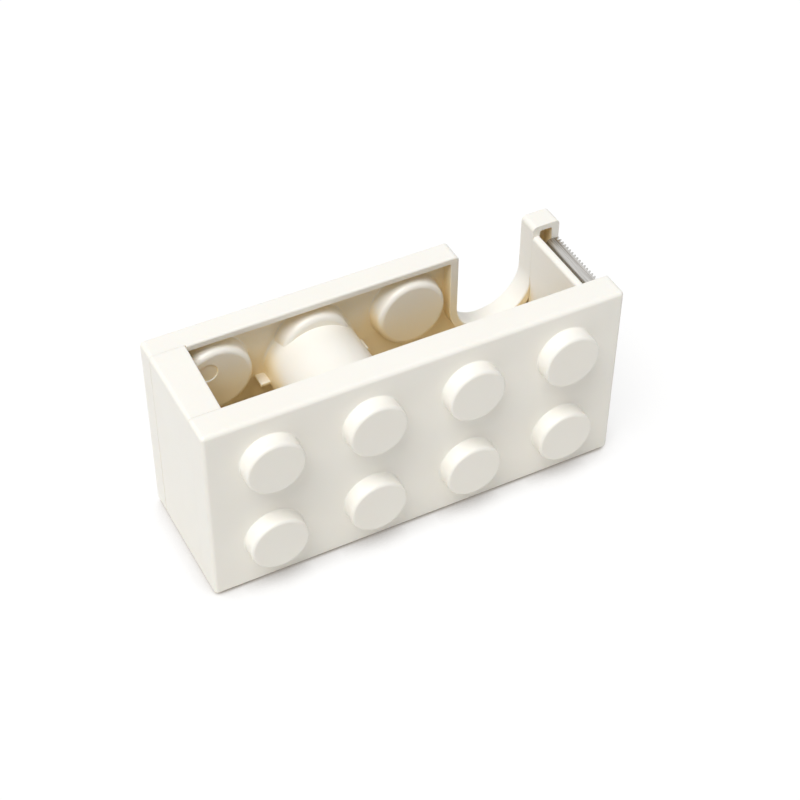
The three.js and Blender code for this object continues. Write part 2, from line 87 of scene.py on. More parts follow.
# Studs and the pockets behind them
STUD_RADIUS = 7.65
STUD_EDGE = 0.85
STUD_FOOT = 0.35
STUD_WALL = 1.9
STUD_TOP_WALL = 1.9
HOLLOW_END_ROUND = 0.4
HOLLOW_MOUTH_ROUND = 0.3
STUD_PITCH = 26.5
STUD_COLUMNS = [LENGTH / 2 + step * STUD_PITCH for step in (-1.5, -0.5, 0.5, 1.5)]
STUD_ROWS = [14.5, 40.2]
POCKET_RADIUS = 7.95
POCKET_DEPTH = 5.6
POCKET_EDGE = 0.35
POCKET_END_ROUND = 0.3
DISC_FRONT = 29.45
DISC_RADIUS = 9.4
DISC_EDGE = 1.5
DISC_DRAFT = 0.35
DISC_FOOT = 0.45
DISC_CLEARANCE = 0.7
EJECTOR_X, EJECTOR_Z = 13.75, 43.45
EJECTOR_RADIUS = 2.6
EJECTOR_DEPTH = 0.3
EJECTOR_EDGE = 0.16
EJECTOR_FLARE = 0.06

# Walls of the mouldings
FACE_SKIN = 2
COVER_SKIN = 1.8
PLATE = 2.6
SHELL_TOP = 1.8
SHELL_SIDE = 1.8
FRAME_SKIN = 1.6
WEB = 2
INNER_CORNER = 0.6
CAVITY_CORNER = 0.4
CAVITY_END_ROUND = 0.5
STEP_CORNER = 0.2

# Finger cutout in the rear shell, and the post beside it
CUT_LEFT = 82.75
CUT_RIGHT = 104.2
CUT_BOTTOM = 27.2
CUT_LEFT_RADIUS = 9.2
CUT_RIGHT_RADIUS = 11.8
CUT_LIP = 2.3
CUT_CORNER = 1.4
POST_HEIGHT = (shell_high.z - cover_low.z) / MM
POST_WALL = 2.1
POST_OUTER_WALL = 2.1
POST_TOP_WALL = 1.55

# Bay for the roll
BAY_LEFT_FRONT = 8.1
BAY_LEFT_BACK = 9.2
BAY_RIGHT = 104.2
BAY_FLOOR = 6
BAY_FILLET = 1.5
BAY_TOP_EDGE = 0.4
BAY_WALL_FRONT = 2.4
LINING_GAP = 0.35
BASE_CEILING = 4.4
LEFT_CAVITY_RIGHT = 6.6
RIGHT_CAVITY_LEFT = 105.8
SHELF_BOTTOM = 43.5

# Tape landing, and the sill and ledge that carry the cutter
LANDING_TOP = 51.2
LANDING_RIGHT = 106.1
LANDING_INNER_ROUND = 1
LANDING_OUTER_ROUND = 0.4
SILL_TOP = 46
LEDGE_LEFT = 108.9
LEDGE_TOP = 48.3
LEDGE_ROUND = 2.8

# Cutter blade, folded from sheet
blade_low, blade_high = in_casing("cutter_blade")
BLADE_SHEET = 0.5
BLADE_TOP = 49.3
BLADE_ROOT = 110.15
BLADE_BEND = 1.3
TONGUE_FRONT = 8.3
TONGUE_BACK = 27.9
TONGUE_CORNER = 0.05
SLOT_CLEARANCE = 0.35
SLOT_CORNER = 0.1
GROUND_EDGE = 0.06
TOOTH_PITCH = 1.17
TOOTH_HEIGHT = 1
TOOTH_RISE = 0.6  # radians above level
TOOTH_ROOT_LAND = 0.25
TOOTH_OVERLAP = 0.3

# Tape hub and what centres the roll on it
HUB_X = 42.5
HUB_Z = 34.2
HUB_RADIUS = 12.1
HUB_DRAFT = 0.3
HUB_WALL = 2
HUB_FRONT = 5.2
HUB_EDGE = 0.6
HUB_FOOT = 0.7
HUB_BORE_EDGE = 0.4
TAB_REACH = 14.9
TAB_FRONT = 30.5
TAB_TOP = 33.1
TAB_THICKNESS = 1.1
TAB_EDGE = 0.3
SPIGOT_RADIUS = 9.6
SPIGOT_WALL = 1.6
SPIGOT_TIP = 8.4
SPIGOT_EDGE = 0.4
SPIGOT_BORE_EDGE = 0.3
GUIDE_GAP = 0.6
GUIDE_TIP = 9.6

# Fastenings
LEFT_WALL_X = 4.1
RIGHT_WALL_X = 108.1
SCREW_PLACES = [(LEFT_WALL_X, 7), (LEFT_WALL_X, 47), (RIGHT_WALL_X, 7), (RIGHT_WALL_X, 34)]
SCREW_RADIUS = 1
SCREW_SEAT = 18
SCREW_POINT = 1.5
SCREW_POINT_TAPER = 0.7
SHANK_ROOT = 0.3
HEAD_ROUND = 0.7
HEAD_EDGE = 0.1
CROSS_LENGTH = 1.05
CROSS_WIDTH = 0.24
CROSS_DEPTH = 0.9
CROSS_TAPER = 0.12
CROSS_RISE = 0.1  # how far past the head its taper runs on
CROSS_CORNER = 0.05
TUBE_RADIUS = 2.8
TUBE_FRONT = 16
TUBE_EDGE = 0.2
COUNTERBORE_RADIUS = 2.25
MOUTH_EDGE = 0.25
BOSS_RADIUS = 2
BOSS_EDGE = 0.25
PILOT_RADIUS = 1.25
PILOT_DEPTH = 10
PILOT_EDGE = 0.15
PEG_PLACES = [(LEFT_WALL_X, 18), (LEFT_WALL_X, 37), (RIGHT_WALL_X, 20.5)]
PEG_RADIUS = 1.4
PEG_SHOULDER_RADIUS = 2.2
PEG_SHOULDER = 31.05
PEG_TIP = 25.4
PEG_EDGE = 0.45
SOCKET_RADIUS = 1.75
SOCKET_TUBE_RADIUS = 2.7
SOCKET_FRONT = 23.5

# Feet
PAD_CLEARANCE = 0.3
PAD_RECESS = 0.5
PAD_RECESS_EDGE = 0.15
PAD_BOTTOM_ROUND = 0.25
PAD_TOP_ROUND = 0.12

# How finely round surfaces are divided, and the margins that solids are cut and joined with
ROUND = 96
SMALL_ROUND = 40
EDGE_STEPS = 5
ARC_STEPS = 3  # for each millimetre of a corner's radius
QUARTER = [i / EDGE_STEPS * math.pi / 2 for i in range(EDGE_STEPS + 1)]
SEAT_GAP = 0.3  # room between a solid and what it would otherwise rest against
REACH = 1  # how far a solid runs past the face that it opens or joins
SHARPEST = 0.03  # the smallest radius that a corner keeps
CLEAR = 0.004  # keeps two faces that meet from lying in one plane
SLIVER = 0.002  # points closer than this are merged
CRISP = math.radians(32)  # an edge that turns less than this is shaded smooth


# ---------- solids ----------

def skin(rings):
    """A closed solid through rings of equally many points, with a flat face at either end."""
    shape = bmesh.new()
    loops = [[shape.verts.new(point) for point in ring] for ring in rings]
    for near, far in zip(loops, loops[1:]):
        for i, corner in enumerate(near):
            shape.faces.new((near[i - 1], corner, far[i], far[i - 1]))
    shape.faces.new(loops[0])
    shape.faces.new(list(reversed(loops[-1])))
    bmesh.ops.recalc_face_normals(shape, faces=shape.faces)
    mesh = bpy.data.meshes.new("solid")
    shape.to_mesh(mesh)
    shape.free()
    solid = bpy.data.objects.new("solid", mesh)
    bpy.context.scene.collection.objects.link(solid)
    return solid


def rounded(at, inward, radius):
    """Levels of a solid's rounded edge, from its end inwards.

    A level is (place, inset), and an inset below 0 makes the solid wider there.
    """
    return [(at + inward * radius * (1 - math.cos(a)), radius * (1 - math.sin(a))) for a in QUARTER]


def flared(at, inward, radius, beyond=REACH):
    """Levels where a solid opens out to a fillet at a surface, from beyond it inwards."""
    fillet = [(at + inward * radius * (1 - math.cos(a)), -radius * (1 - math.sin(a))) for a in QUARTER]
    return [(at - inward * beyond, -radius), *fillet]


def between(first, last):
    """One solid's levels, from those of its two ends."""
    return [*first, *reversed(last)]


def outline(corners, inset):
    """Points round a shape of (x, z, corner radius) corners, drawn in by inset.

    The corners run counterclockwise, seen from the front.
    """
    points = []
    for i, (x, z, radius) in enumerate(corners):
        here = Vector((x, z))
        arriving = (here - Vector(corners[i - 1][:2])).normalized()
        leaving = (Vector(corners[(i + 1) % len(corners)][:2]) - here).normalized()
        turn = math.atan2(arriving.x * leaving.y - arriving.y * leaving.x, arriving.dot(leaving))
        side = math.copysign(1, turn)
        inside = Vector((-arriving.y, arriving.x))
        mitre = (inside + Vector((-leaving.y, leaving.x))) / (1 + math.cos(turn))
        bend = max(radius - side * inset, SHARPEST)
        centre = here + mitre * (inset + side * bend)
        steps = max(EDGE_STEPS, min(ROUND // 4, round(radius * ARC_STEPS)))
        for step in range(steps + 1):
            spoke = Matrix.Rotation(turn * step / steps, 2) @ inside
            points.append(centre - side * bend * spoke)
    return points


def drawn(corners, levels):
    """A shape drawn out along Y. The corners may be a function of y."""
    at = corners if callable(corners) else lambda y: corners
    return skin([[(x, y, z) for x, z in outline(at(y), inset)] for y, inset in levels])


def turned(radius, levels, centre, facets=ROUND, upright=False):
    """A round solid about a line along Y through centre, or about an upright one."""
    rings = []
    for level, inset in levels:
        ring = []
        for i in range(facets):
            angle = math.tau * i / facets
            a = centre[0] + (radius - inset) * math.cos(angle)
            b = centre[1] + (radius - inset) * math.sin(angle)
            ring.append((a, b, level) if upright else (a, level, b))
        rings.append(ring)
    return skin(rings)


def at_each(places, radius, levels):
    """The same small round solid at each of some places."""
    return [turned(radius, levels, place, SMALL_ROUND) for place in places]


def rectangle(x0, z0, x1, z1, radius):
    """The corners of an upright rectangle, all of one radius."""
    return [(x0, z0, radius), (x1, z0, radius), (x1, z1, radius), (x0, z1, radius)]


def combined(operation, whole, others):
    """whole after joining or cutting with each of the others, which are used up."""
    for other in others:
        step = whole.modifiers.new("step", "BOOLEAN")
        step.operation = operation
        step.solver = "MANIFOLD"
        step.object = other
    evaluated = whole.evaluated_get(bpy.context.evaluated_depsgraph_get())
    mesh = bpy.data.meshes.new_from_object(evaluated)
    whole.modifiers.clear()
    whole.data = mesh
    for other in others:
        bpy.data.objects.remove(other)
    return whole


def joined(whole, *others):
    return combined("UNION", whole, others)


def without(whole, *cutters):
    return combined("DIFFERENCE", whole, cutters)


# ---------- finished pieces ----------

def cleaned(piece):
    """Merges the slivers that cutting leaves, and marks which edges are crisp."""
    shape = bmesh.new()
    shape.from_mesh(piece.data)
    bmesh.ops.remove_doubles(shape, verts=shape.verts, dist=SLIVER)
    bmesh.ops.dissolve_degenerate(shape, edges=shape.edges, dist=SLIVER)
    for edge in shape.edges:
        edge.smooth = len(edge.link_faces) == 2 and edge.calc_face_angle() < CRISP
    for face in shape.faces:
        face.smooth = True
    shape.to_mesh(piece.data)
    shape.free()
    even = piece.modifiers.new("even shading", "WEIGHTED_NORMAL")
    even.keep_sharp = True
    even.weight = 60


def finished(piece, name, material, slot, body, *nodes):
    """Carries a piece to its place, hands it to the body, and hides the nodes that it stands for."""
    cleaned(piece)
    piece.name = name
    piece.data.name = name
    piece.data.transform(Matrix.Translation(ORIGIN) @ Matrix.Scale(MM, 4))
    piece.data.materials.clear()
    piece.data.materials.append(material)
    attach(piece, body)
    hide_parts(*nodes)


# ---------- materials ----------

def new_material(name):
    """A material, its nodes, its links and its shader."""
    material = bpy.data.materials.new(name)
    material.use_nodes = True
    nodes = material.node_tree.nodes
    return material, nodes, material.node_tree.links, nodes["Principled BSDF"]


def noise(nodes, links, scale, detail=4, stretch=(1, 1, 1)):
    """A noise texture in the part's own metres, scale patches to the metre."""
    place = nodes.new("ShaderNodeTexCoord")
    mapping = nodes.new("ShaderNodeMapping")
    mapping.inputs["Scale"].default_value = stretch
    texture = nodes.new("ShaderNodeTexNoise")
    texture.inputs["Scale"].default_value = scale
    texture.inputs["Detail"].default_value = detail
    links.new(place.outputs["Object"], mapping.inputs["Vector"])
    links.new(mapping.outputs["Vector"], texture.inputs["Vector"])
    return texture.outputs["Fac"]


def spread(nodes, links, value, low, high, at=(0.3, 0.7)):
    """A value mapped to the range from low to high."""
    mapped = nodes.new("ShaderNodeMapRange")
    mapped.inputs["From Min"].default_value, mapped.inputs["From Max"].default_value = at
    mapped.inputs["To Min"].default_value = low
    mapped.inputs["To Max"].default_value = high
    links.new(value, mapped.inputs["Value"])
    return mapped.outputs["Result"]


def blended(nodes, links, share, first, second, how="MIX"):
    """A colour mixed from first and second. They and share are constants or nodes' outputs."""
    mix = nodes.new("ShaderNodeMix")
    mix.data_type = "RGBA"
    mix.blend_type = how
    for value, socket in ((share, mix.inputs[0]), (first, mix.inputs[6]), (second, mix.inputs[7])):
        if isinstance(value, bpy.types.NodeSocket):
            links.new(value, socket)
        else:
            socket.default_value = (*value, 1) if isinstance(value, tuple) else value
    return mix.outputs[2]


def bumped(nodes, links, shader, height, distance, strength=1.0):
    """Relief of that many metres from a height of 0 to 1."""
    bump = nodes.new("ShaderNodeBump")
    bump.inputs["Distance"].default_value = distance
    bump.inputs["Strength"].default_value = strength
    links.new(height, bump.inputs["Height"])
    links.new(bump.outputs["Normal"], shader.inputs["Normal"])


def openness(nodes, distance):
    """How open a place is to what lies within distance: 0 in a deep recess, 1 in the open."""
    occlusion = nodes.new("ShaderNodeAmbientOcclusion")
    occlusion.samples = 8
    occlusion.inputs["Distance"].default_value = distance
    return occlusion.outputs["AO"]


def along(nodes, links, vector, axis):
    """One coordinate of a vector."""
    parts = nodes.new("ShaderNodeSeparateXYZ")
    links.new(vector, parts.inputs["Vector"])
    return parts.outputs[axis]


def chained(nodes, links, operation, first, *others):
    """One value from several, such as their sum or the largest of them."""
    for other in others:
        step = nodes.new("ShaderNodeMath")
        step.operation = operation
        links.new(first, step.inputs[0])
        links.new(other, step.inputs[1])
        first = step.outputs["Value"]
    return first


def toned(nodes, links, value, tones):
    """A colour from a row of (place, colour) tones."""
    ramp = nodes.new("ShaderNodeValToRGB")
    stops = ramp.color_ramp.elements
    while len(stops) < len(tones):
        stops.new(0.5)
    for stop, (place, colour) in zip(stops, tones):
        stop.position = place
        stop.color = (*colour, 1)
    links.new(value, ramp.inputs["Fac"])
    return ramp.outputs["Color"]


def cream_plastic():
    """Glossy cream plastic, with painted shade: deep in a recess its colour is painted warm tan.

    What faces up is painted paler, as painted light from above, and the front face and its studs
    stay plain, because a mask on depth keeps the painted shade off them.
    """
    material, nodes, links, shader = new_material("cream_moulded_plastic")
    patches = spread(nodes, links, noise(nodes, links, 45), 0, 1)
    plain = blended(nodes, links, patches, (0.935, 0.917, 0.862), (0.92, 0.898, 0.838))
    # Painted light: surfaces that face up are painted paler, as though lit from above
    facing_up = along(nodes, links, nodes.new("ShaderNodeNewGeometry").outputs["Normal"], "Z")
    # Mask that keeps the front face and its studs out of the painted shade
    depth = along(nodes, links, nodes.new("ShaderNodeTexCoord").outputs["Object"], "Y")
    behind_face = (ORIGIN.y + 0.2 * MM, ORIGIN.y + 1 * MM)
    # Painted shade and light: how much painted tan a place gets, from its openness, how far it faces
    # up and whether it lies at the front face
    light = chained(nodes, links, "ADD", openness(nodes, 0.07),
                    spread(nodes, links, facing_up, 0, 0.13, at=(0, 0.8)),
                    spread(nodes, links, depth, 0.3, 0, at=behind_face))
    # The painted shade's colours, darkest and warmest in the most enclosed places
    painted_shade_tone = toned(nodes, links, light, [
        (0.05, (1.0, 0.82, 0.5)),
        (0.2, (1.0, 0.86, 0.6)),
    ])
    unshaded_share = spread(nodes, links, light, 0, 1, at=(0.19, 0.29))
    links.new(blended(nodes, links, unshaded_share, painted_shade_tone, plain), shader.inputs["Base Color"])
    links.new(spread(nodes, links, noise(nodes, links, 160), 0.3, 0.38), shader.inputs["Roughness"])
    shader.inputs["IOR"].default_value = 1.5
    shader.inputs["Subsurface Weight"].default_value = 0.15
    shader.inputs["Subsurface Radius"].default_value = (1, 0.8, 0.6)
    shader.inputs["Subsurface Scale"].default_value = 0.0012
    bumped(nodes, links, shader, noise(nodes, links, 900, 2), 0.00002, 0.5)
    return material


def blade_steel():
    """Rolled steel strip: dull grey with darker and brighter lines along it."""
    material, nodes, links, shader = new_material("blade_steel")
    lines = noise(nodes, links, 1000, 3, (6, 0.12, 6))
    bands = noise(nodes, links, 1000, 1, (1.1, 0.015, 1.1))
    shader.inputs["Metallic"].default_value = 1
    fine = blended(nodes, links, lines, (0.28, 0.27, 0.25), (0.84, 0.83, 0.81))
    broad = toned(nodes, links, bands, [
        (0.38, (0.5, 0.46, 0.41)),
        (0.46, (0.95, 0.94, 0.93)),
        (0.7, (1, 1, 1)),
    ])
    links.new(blended(nodes, links, 1, fine, broad, "MULTIPLY"), shader.inputs["Base Color"])
    links.new(spread(nodes, links, lines, 0.25, 0.42), shader.inputs["Roughness"])
    bumped(nodes, links, shader, lines, 0.00001)
    return material


def zinc_plate():
    """Dull zinc plating with faint patches."""
    material, nodes, links, shader = new_material("zinc_plate")
    patches = noise(nodes, links, 300)
    shader.inputs["Metallic"].default_value = 1
    links.new(blended(nodes, links, patches, (0.48, 0.50, 0.52), (0.62, 0.63, 0.63)),
              shader.inputs["Base Color"])
    links.new(spread(nodes, links, patches, 0.3, 0.5), shader.inputs["Roughness"])
    bumped(nodes, links, shader, noise(nodes, links, 2500, 2), 0.00001)
    return material


def pad_foam():
    """Pale closed-cell foam with fine pores."""
    material, nodes, links, shader = new_material("pad_foam")
    pores = noise(nodes, links, 4000, 2)
    links.new(blended(nodes, links, pores, (0.62, 0.60, 0.55), (0.76, 0.74, 0.69)),
              shader.inputs["Base Color"])
    shader.inputs["Roughness"].default_value = 0.92
    bumped(nodes, links, shader, pores, 0.00008)
    return material


# ---------- front cover ----------

def stud(x, z):
    """A rounded button that runs out to a small fillet at its foot."""
    foot = flared(CLEAR, -1, STUD_FOOT, FACE_SKIN / 2)
    return turned(STUD_RADIUS, between(rounded(-STUD_HEIGHT, 1, STUD_EDGE), foot), (x, z))


def stud_hollow(x, z):
    """The hollow inside a stud, open to the rear."""
    end = rounded(STUD_TOP_WALL - STUD_HEIGHT, 1, HOLLOW_END_ROUND)
    mouth = flared(FACE_SKIN, -1, HOLLOW_MOUTH_ROUND)
    return turned(STUD_RADIUS - STUD_WALL, between(end, mouth), (x, z))


def beside_hub(near, levels):
    """A flat tab on either side of the hub, from near its axis out to the tabs' full reach."""
    return [drawn(rectangle(HUB_X + a, TAB_TOP - TAB_THICKNESS, HUB_X + b, TAB_TOP, TAB_EDGE), levels)
            for a, b in ((-TAB_REACH, -near), (near, TAB_REACH))]


def front_cover():
    """The shallow tray with eight hollow studs, four screw bosses, the hub's spigot and two tabs."""
    body = rectangle(0, 0, LENGTH, HEIGHT, CORNER)
    hollow = rectangle(COVER_SKIN, COVER_SKIN, LENGTH - COVER_SKIN, HEIGHT - COVER_SKIN, INNER_CORNER)
    tray = drawn(body, between(rounded(0, 1, FRONT_EDGE), rounded(COVER_BACK, -1, SEAM_EDGE)))
    tray = without(tray, drawn(hollow, between(rounded(FACE_SKIN, 1, INNER_CORNER),
                                               flared(COVER_BACK, -1, SEAM_EDGE))))
    studs = [(x, z) for x in STUD_COLUMNS for z in STUD_ROWS]
    root = (FACE_SKIN - REACH, 0)
    tip = TUBE_FRONT - SEAT_GAP
    bosses = at_each(SCREW_PLACES, BOSS_RADIUS, between([root], rounded(tip, -1, BOSS_EDGE)))
    pilots = at_each(SCREW_PLACES, PILOT_RADIUS,
                     between([(tip - PILOT_DEPTH, 0)], flared(tip, -1, PILOT_EDGE)))
    hub = (HUB_X, HUB_Z)
    spigot = turned(SPIGOT_RADIUS, between([root], rounded(SPIGOT_TIP, -1, SPIGOT_EDGE)), hub)
    bore = turned(SPIGOT_RADIUS - SPIGOT_WALL,
                  between([(FACE_SKIN, 0)], flared(SPIGOT_TIP, -1, SPIGOT_BORE_EDGE)), hub)
    guides = beside_hub(HUB_RADIUS + GUIDE_GAP, between([root], rounded(GUIDE_TIP, -1, TAB_EDGE)))
    whole = joined(tray, spigot, *guides, *bosses, *[stud(x, z) for x, z in studs])
    return without(whole, bore, *pilots, *[stud_hollow(x, z) for x, z in studs])


# ---------- casing frame ----------

def bay_left(y):
    """The closed end's inner face leans in towards the rear."""
    share = (y - BAY_WALL_FRONT) / (FRAME_BACK - BAY_WALL_FRONT)
    return BAY_LEFT_FRONT + share * (BAY_LEFT_BACK - BAY_LEFT_FRONT)


def frame_outline(y):
    """The U of the casing: closed end, base, ledge, sill and landing wall."""
    return [
        (0, 0, CORNER),
        (LENGTH, 0, CORNER),
        (LENGTH, LEDGE_TOP, LEDGE_ROUND),
        (LEDGE_LEFT, LEDGE_TOP, STEP_CORNER),
        (LEDGE_LEFT, SILL_TOP, STEP_CORNER),
        (LANDING_RIGHT, SILL_TOP, STEP_CORNER),
        (LANDING_RIGHT, LANDING_TOP, LANDING_OUTER_ROUND),
        (BAY_RIGHT, LANDING_TOP, LANDING_INNER_ROUND),
        (BAY_RIGHT, BAY_FLOOR, BAY_FILLET),
        (bay_left(y), BAY_FLOOR, BAY_FILLET),
        (bay_left(y), HEIGHT, BAY_TOP_EDGE),
        (0, HEIGHT, CORNER),
    ]


def lining_outline(y):
    """The walls round the bay, where they run on into the front cover."""
    top = HEIGHT - COVER_SKIN - LINING_GAP
    return [
        (LEFT_CAVITY_RIGHT, BASE_CEILING, STEP_CORNER),
        (LANDING_RIGHT, BASE_CEILING, STEP_CORNER),
        (LANDING_RIGHT, LANDING_TOP, LANDING_OUTER_ROUND),
        (BAY_RIGHT, LANDING_TOP, LANDING_INNER_ROUND),
        (BAY_RIGHT, BAY_FLOOR, BAY_FILLET),
        (bay_left(y), BAY_FLOOR, BAY_FILLET),
        (bay_left(y), top, STEP_CORNER),
        (LEFT_CAVITY_RIGHT, top, STEP_CORNER),
    ]


def frame_cavity():
    """The hollow inside the U, open to the front and closed by the web at the rear."""
    left, right = FRAME_SKIN, LENGTH - FRAME_SKIN
    corners = [
        (left, FRAME_SKIN),
        (right, FRAME_SKIN),
        (right, SHELF_BOTTOM),
        (RIGHT_CAVITY_LEFT, SHELF_BOTTOM),
        (RIGHT_CAVITY_LEFT, BASE_CEILING),
        (LEFT_CAVITY_RIGHT, BASE_CEILING),
        (LEFT_CAVITY_RIGHT, HEIGHT - FRAME_SKIN),
        (left, HEIGHT - FRAME_SKIN),
    ]
    return drawn([(x, z, CAVITY_CORNER) for x, z in corners],
                 [(BAY_WALL_FRONT - REACH, 0), (FRAME_BACK - WEB, 0)])


def casing_frame():
    """The U with its screw tubes, peg sockets and slot, cut back for the discs and the pads."""
    shell = drawn(frame_outline, between(rounded(FRAME_FRONT, 1, SEAM_EDGE),
                                         rounded(FRAME_BACK, -1, SEAM_EDGE)))
    lining = drawn(lining_outline, [*rounded(BAY_WALL_FRONT, 1, SEAM_EDGE), (FRAME_FRONT + REACH, 0)])
    hollowed = without(joined(shell, lining), frame_cavity())
    root = (FRAME_BACK - REACH, 0)
    tubes = at_each(SCREW_PLACES, TUBE_RADIUS, [*rounded(TUBE_FRONT, 1, TUBE_EDGE), root])
    sockets = at_each(PEG_PLACES, SOCKET_TUBE_RADIUS, [*rounded(SOCKET_FRONT, 1, TUBE_EDGE), root])
    mouth = flared(FRAME_BACK, -1, MOUTH_EDGE)
    cuts = [
        *at_each(SCREW_PLACES, COUNTERBORE_RADIUS, between([(SCREW_SEAT, 0)], mouth)),
        *at_each(SCREW_PLACES, PILOT_RADIUS, [(TUBE_FRONT - REACH, 0), (SCREW_SEAT + REACH, 0)]),
        *at_each(PEG_PLACES, SOCKET_RADIUS, between([(SOCKET_FRONT - REACH, 0)], mouth)),
    ]
    slot = rectangle(blade_low.x - SLOT_CLEARANCE, SHELF_BOTTOM - REACH, LEDGE_LEFT, LEDGE_TOP,
                     SLOT_CORNER)
    cuts.append(drawn(slot, [(BAY_WALL_FRONT - REACH, 0), (TONGUE_BACK + SLOT_CLEARANCE, 0)]))
    notch = [(DISC_FRONT - SEAT_GAP, 0), (FRAME_BACK + REACH, 0)]
    cuts += [turned(DISC_RADIUS + DISC_CLEARANCE, notch, place) for place in pocket_places()]
    seam = rectangle(-REACH, CORNER, SEAM_DEPTH, HEIGHT - CORNER, SHARPEST)
    cuts.append(drawn(seam, [(FRAME_BACK - SEAM_WIDTH, 0), (FRAME_BACK + REACH, 0)]))
    for number in range(1, 5):
        low, high = in_casing(f"foot_pad_{number}")
        radius = (high.x - low.x) / 2 + PAD_CLEARANCE
        centre = (low.x + high.x) / 2, (low.y + high.y) / 2
        levels = between(flared(0, 1, PAD_RECESS_EDGE), [(PAD_RECESS, 0)])
        cuts.append(turned(radius, levels, centre, upright=True))
    return without(joined(hollowed, *tubes, *sockets), *cuts)


# ---------- rear shell ----------

def shell_outline():
    """The brick's rear outline, with the finger cutout open at the top."""
    return [
        (0, 0, CORNER),
        (LENGTH, 0, CORNER),
        (LENGTH, POST_HEIGHT, CORNER),
        (CUT_RIGHT, POST_HEIGHT, CUT_CORNER),
        (CUT_RIGHT, CUT_BOTTOM, CUT_RIGHT_RADIUS),
        (CUT_LEFT, CUT_BOTTOM, CUT_LEFT_RADIUS),
        (CUT_LEFT, HEIGHT, CUT_CORNER),
        (0, HEIGHT, CORNER),
    ]


def shell_cavity():
    """The hollow in the shell, which leaves a lip along the cutout and a rim round the post."""
    top = HEIGHT - SHELL_TOP
    post_top = POST_HEIGHT - POST_TOP_WALL
    right = LENGTH - POST_OUTER_WALL
    corners = [
        (SHELL_SIDE, SHELL_SIDE, INNER_CORNER),
        (right, SHELL_SIDE, INNER_CORNER),
        (right, post_top, INNER_CORNER),
        (CUT_RIGHT + POST_WALL, post_top, INNER_CORNER),
        (CUT_RIGHT + POST_WALL, CUT_BOTTOM - CUT_LIP, CUT_RIGHT_RADIUS + POST_WALL),
        (CUT_LEFT - CUT_LIP, CUT_BOTTOM - CUT_LIP, CUT_LEFT_RADIUS + CUT_LIP),
        (CUT_LEFT - CUT_LIP, top, INNER_CORNER),
        (SHELL_SIDE, top, INNER_CORNER),
    ]
    return drawn(corners, between(flared(RIM_FRONT, 1, RIM_INNER_EDGE),
                                  rounded(DEPTH - PLATE, -1, CAVITY_END_ROUND)))


def frame_clearance():
    """What is cut off the shell's rim wherever the frame stands in front of it."""
    left, right = BAY_LEFT_BACK + RIM_CLEARANCE, BAY_RIGHT - RIM_CLEARANCE
    low, top = BAY_FLOOR + RIM_CLEARANCE, POST_HEIGHT + REACH
    corners = [(-REACH, -REACH), (LENGTH + REACH, -REACH), (LENGTH + REACH, top), (right, top),
               (right, low), (left, low), (left, top), (-REACH, top)]
    return drawn([(x, z, SHARPEST) for x, z in corners], [(RIM_FRONT - REACH, 0), (SHELL_FRONT, 0)])


def pocket_places():
    """Every stud place but the one that the cutout takes away."""
    return [(x, z) for x in STUD_COLUMNS for z in STUD_ROWS if x < CUT_LEFT or z < CUT_BOTTOM]


def drafted_foot(draft, fillet):
    """Levels where a tapered solid ends in a fillet at the shell's inner face."""
    foot = flared(DEPTH - PLATE + CLEAR, -1, fillet, PLATE / 2)
    return [(level, inset - draft) for level, inset in foot]


def pocket_disc(x, z):
    """A raised disc inside the shell, which is the back of a stud pocket."""
    levels = between(rounded(DISC_FRONT, 1, DISC_EDGE), drafted_foot(DISC_DRAFT, DISC_FOOT))
    return turned(DISC_RADIUS, levels, (x, z))


def pocket_bore(x, z):
    """The blind bore in the rear face that takes a stud."""
    end = rounded(DEPTH - POCKET_DEPTH, 1, POCKET_END_ROUND)
    return turned(POCKET_RADIUS, between(end, flared(DEPTH, -1, POCKET_EDGE)), (x, z))


def rear_shell():
    """The shallow tray with seven stud pockets, the hub, its two standoffs and three pegs."""
    tray = drawn(shell_outline(), between(rounded(RIM_FRONT, 1, RIM_ROUND),
                                          rounded(DEPTH, -1, REAR_EDGE)))
    tray = without(tray, shell_cavity(), frame_clearance())
    places = pocket_places()
    hub = (HUB_X, HUB_Z)
    inner_face = DEPTH - PLATE
    root = inner_face + PLATE / 2
    hub_tube = turned(HUB_RADIUS, between(rounded(HUB_FRONT, 1, HUB_EDGE),
                                          drafted_foot(HUB_DRAFT, HUB_FOOT)), hub)
    hub_bore = turned(HUB_RADIUS - HUB_WALL, between(flared(HUB_FRONT, 1, HUB_BORE_EDGE),
                                                     rounded(inner_face, -1, HUB_BORE_EDGE)), hub)
    tabs = beside_hub(HUB_RADIUS - HUB_WALL / 2, [*rounded(TAB_FRONT, 1, TAB_EDGE), (root, 0)])
    shoulder = PEG_RADIUS - PEG_SHOULDER_RADIUS
    pegs = at_each(PEG_PLACES, PEG_RADIUS, [*rounded(PEG_TIP, 1, PEG_EDGE), (PEG_SHOULDER, 0),
                                            (PEG_SHOULDER, shoulder), (root, shoulder)])
    print_levels = between(flared(DISC_FRONT, 1, EJECTOR_FLARE),
                           rounded(DISC_FRONT + EJECTOR_DEPTH, -1, EJECTOR_EDGE))
    ejector_print = turned(EJECTOR_RADIUS, print_levels, (EJECTOR_X, EJECTOR_Z))
    whole = joined(tray, hub_tube, *tabs, *pegs, *[pocket_disc(x, z) for x, z in places])
    return without(whole, hub_bore, ejector_print, *[pocket_bore(x, z) for x, z in places])


# ---------- cutter blade ----------

